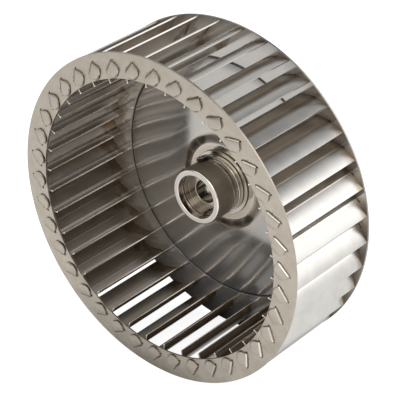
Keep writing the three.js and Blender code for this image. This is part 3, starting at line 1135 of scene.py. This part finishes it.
def hub_steel():
    """Turned steel: a dull front part and a dark bore, with a bright band, collar and edges."""
    m = Metal("hub_steel")
    rings, normal = turned(m, HUB_RING_PITCH, HUB_RING_DEPTH)
    colour = m.shades(rings, *HUB_SHADES)
    behind = m.minus(m.y, HUB_FRONT * MM)
    first_groove = COLLAR_FRONT - 2 * GROOVE_WIDTH - BAND_LENGTH - HUB_FRONT
    dull_end = (first_groove - DULL_BEFORE_GROOVE, first_groove)
    outside = m.fade_in(m.radius, [HUB_RADIUS + reach for reach in HUB_OUTSIDE])
    front_part = m.times(m.fade_in(behind, DULL_START), outside, m.fade_out(behind, dull_end, share=0.8))
    lines = m.math("SINE", m.times(m.y, 2 * math.pi / (LINE_PITCH * MM)))
    colour = m.mix(front_part, colour, m.mix(m.spread(lines, -1, 1, 0, 1), *LINE_SHADES))
    face = m.times(m.fade_out(behind, HUB_FACE_DEPTH, share=0.85), m.band(m.radius, *HUB_FACE_RANGE))
    colour = m.mix(face, colour, HUB_FACE)
    bore = m.fade_out(m.radius, [COUNTERBORE_RADIUS + reach for reach in HUB_BORE_EDGE], share=0.8)
    colour = m.mix(m.times(bore, m.fade_in(behind, HUB_BORE_START)), colour, HUB_BORE)
    roughness = m.blend(m.math("MAXIMUM", front_part, face), m.vary(rings, 0.11, 0.16), DULL_ROUGHNESS)
    return m.finish(colour, roughness, m.bump(m.times(lines, front_part), LINE_BUMP, normal))


def washer_steel():
    m = Metal("washer_steel")
    rings, normal = turned(m, WASHER_RING_PITCH, WASHER_RING_DEPTH)
    return m.finish(m.shades(rings, *WASHER_SHADES), m.vary(rings, 0.22, 0.3), normal)


# Set screw: its face begins a little below its top
BLACK_SHADES = rgb(0.012, 0.011, 0.01), rgb(0.05, 0.045, 0.04)
BLACK_BUMP = 0.01
SPECK_RANGE = (0.4, 0.75)
SCREW_FACE = rgb(0.46, 0.42, 0.37)
SCREW_FACE_START = (-0.25, -0.05)


def black_steel():
    """Blackened steel with fine specks, bright on the screw's face."""
    m = Metal("black_steel", metallic=0.6)
    specks = m.noise(m.place, 1800, detail=3)
    colour = m.mix(m.spread(specks, *SPECK_RANGE, 0, 1), *BLACK_SHADES)
    on_face = m.fade_in(m.radius, [SCREW_TOP + reach for reach in SCREW_FACE_START], share=0.85)
    colour = m.mix(on_face, colour, SCREW_FACE)
    return m.finish(colour, m.vary(specks, 0.22, 0.4), m.bump(specks, BLACK_BUMP))


# ------------ stage

# The table: each sheet's grey and glow, its half width and its depth under the wheel, in metres
FLOOR_HALF_WIDTH = 3.0
FLOOR_SEEN_DEPTH = 0.00007
FLOOR_SEEN_GREY = 0.4
FLOOR_SEEN_GLOW = 0.88
FLOOR_LIGHTING_DEPTH = 0.00017
FLOOR_LIGHTING_GREY = 0.05

# How the table glows near the wheel and far from it: distances in metres, azimuths and strengths. The shade
# fades by the cosine of the angle from its azimuth.
SHADE_AZIMUTH = -145
SHADE_FADE = (0.13, 0.64)
SHADE_GLOW = (0.97, 0.0)
UNDER_WHEEL = (0.04, 0.12)
BEFORE_INLET = (-0.045, -0.025)
BEFORE_INLET_SHARE = 0.6
UNDER_TO_OPEN = (0.34, 1.2)
NEAR_AZIMUTH = 18
NEAR_GLOW = (0.84, 1.16)
FAR_AZIMUTH = 140
FAR_GLOW = (0.44, 1.12)
NEAR_TO_FAR = (0.37, 0.65)


def direction(azimuth, elevation):
    """Unit vector towards an azimuth, from -Y towards +X, and an elevation, in degrees."""
    a, e = math.radians(azimuth), math.radians(elevation)
    return Vector((math.sin(a) * math.cos(e), -math.cos(a) * math.cos(e), math.sin(e)))


def grey(level):
    return rgb(level, level, level)


def make_floor():
    """A plain pale table under the wheel's rim: one sheet as it is seen, and one as it lights the metal."""
    level = cad_box[0].z
    seen, shader = floor_sheet("floor_seen", level - FLOOR_SEEN_DEPTH)
    shader.inputs["Base Color"].default_value = grey(FLOOR_SEEN_GREY)
    shader.inputs["Emission Strength"].default_value = FLOOR_SEEN_GLOW
    seen.visible_glossy = False
    seen.visible_diffuse = False
    seen.visible_shadow = False
    lighting, shader = floor_sheet("floor_lighting", level - FLOOR_LIGHTING_DEPTH)
    lighting.visible_camera = False
    shader.inputs["Base Color"].default_value = grey(FLOOR_LIGHTING_GREY)
    table_glow(Nodes(lighting.data.materials[0].node_tree), shader.inputs["Emission Strength"])


def table_glow(n, strength):
    """The table as it is lit: pale near the wheel, shaded behind it to its left, and dim far in front."""
    x, y, _ = n.split(n.coordinates())
    reach = n.length(x, y)
    shade = n.spread(n.along(x, y, SHADE_AZIMUTH, reach), *SHADE_FADE, *SHADE_GLOW)
    # Close under the wheel the glow is dimmed, less so before its inlet: a painted shadow of the wheel
    before_inlet = n.spread(y, *BEFORE_INLET, BEFORE_INLET_SHARE, 0)
    open_floor = n.math("MAXIMUM", n.spread(reach, *UNDER_WHEEL, 0, 1), before_inlet)
    open_glow = n.spread(open_floor, 0, 1, *UNDER_TO_OPEN, smooth=False)
    sided = n.spread(n.along(x, y, NEAR_AZIMUTH, reach), -1, 1, *NEAR_GLOW, smooth=False)
    near = n.times(shade, open_glow, sided)
    far = n.spread(n.along(x, y, FAR_AZIMUTH, reach), -1, 1, *FAR_GLOW, smooth=False)
    n.link(n.blend(n.spread(reach, *NEAR_TO_FAR, 0, 1), near, far), strength)


def floor_sheet(name, level):
    """A flat square that belongs to the stage, and its shader."""
    half = FLOOR_HALF_WIDTH
    data = bpy.data.meshes.new(name)
    corners = [(-half, -half, level), (half, -half, level), (half, half, level), (-half, half, level)]
    data.from_pydata(corners, [], [(0, 1, 2, 3)])
    floor = in_scene(name, data)
    material = bpy.data.materials.new(name)
    material.use_nodes = True
    shader = material.node_tree.nodes["Principled BSDF"]
    shader.inputs["Roughness"].default_value = 0.9
    shader.inputs["Emission Color"].default_value = grey(1)
    data.materials.append(material)
    return floor, shader


def softbox(name, azimuth, elevation, distance, size, power):
    """A square area light that faces the wheel from a direction in degrees. Its lengths are in metres."""
    back = direction(azimuth, elevation)
    data = bpy.data.lights.new(name, "AREA")
    data.size = size
    data.energy = power
    lamp = in_scene(name, data)
    lamp.location = back * distance
    lamp.rotation_euler = (-back).to_track_quat("-Z", "Y").to_euler()


# Soft panels of the studio: azimuth, where each fades in from its sides (cosine of the angle from its
# azimuth), where it fades in and out upwards (sine of the height), and strength.
PANELS = {
    "backdrop": (133, (0.10, 1.14), (-0.1, 0.02), (0.64, 0.87), 1.60),
    "front": (-20, (0.50, 0.87), (0.33, 0.52), (0.70, 0.79), 1.95),
    "crown": (16, (-0.81, -0.38), (0.56, 0.72), (0.92, 1.0), 0.95),
    "left": (-166, (0.14, 0.71), (0.0, 0.25), (0.58, 0.69), 1.05),
    "front right": (32, (0.72, 0.92), (0.0, 0.12), (0.5, 0.62), 1.35),
    "low": (-52, (-0.48, 0.92), (-0.1, 0.0), (0.12, 0.20), 1.18),
}
STUDIO_SHADE = 0.21


def make_world():
    """A dim studio with soft panels round the wheel."""
    world = bpy.data.worlds.new("studio")
    bpy.context.scene.world = world
    world.use_nodes = True
    n = Nodes(world.node_tree)
    x, y, z = n.split(n.coordinates("Generated"))
    across = n.length(x, y)
    total = -STUDIO_SHADE
    for azimuth, sideways, rise, fall, strength in PANELS.values():
        panel = n.spread(n.along(x, y, azimuth, across), *sideways, 0, strength)
        total = n.plus(n.times(panel, n.spread(z, *rise, 0, 1), n.spread(z, *fall, 1, 0)), total)
    background = world.node_tree.nodes["Background"]
    background.inputs["Color"].default_value = grey(1)
    n.link(n.math("MAXIMUM", total, 0.0), background.inputs["Strength"])


def make_lights():
    make_world()
    softbox("overhead", azimuth=0, elevation=80, distance=1.6, size=1.0, power=1)
    softbox("key", azimuth=42, elevation=42, distance=1.2, size=0.55, power=2.6)


# ------------ camera

# Degrees and metres, with the lens in millimetres
CAMERA_AZIMUTH = 40.66
CAMERA_ELEVATION = 31.17
CAMERA_DISTANCE = 0.7472
CAMERA_AIM = Vector((0.0028, 0.0023, -0.0002))
CAMERA_LENS = 147.93


def make_camera():
    data = bpy.data.cameras.new("camera")
    data.lens = CAMERA_LENS
    data.clip_start = 0.01
    camera = in_scene("camera", data)
    back = direction(CAMERA_AZIMUTH, CAMERA_ELEVATION)
    camera.location = CAMERA_AIM + back * CAMERA_DISTANCE
    camera.rotation_euler = (-back).to_track_quat("-Z", "Y").to_euler()
    bpy.context.scene.camera = camera
    bpy.context.scene.view_settings.view_transform = "Standard"


make_camera()
make_ring()
make_plate()
blade_material = blade_steel()
for blade in range(BLADE_COUNT):
    make_blade(blade, blade_material)
make_hub()
make_washer()
make_screw()
make_floor()
make_lights()
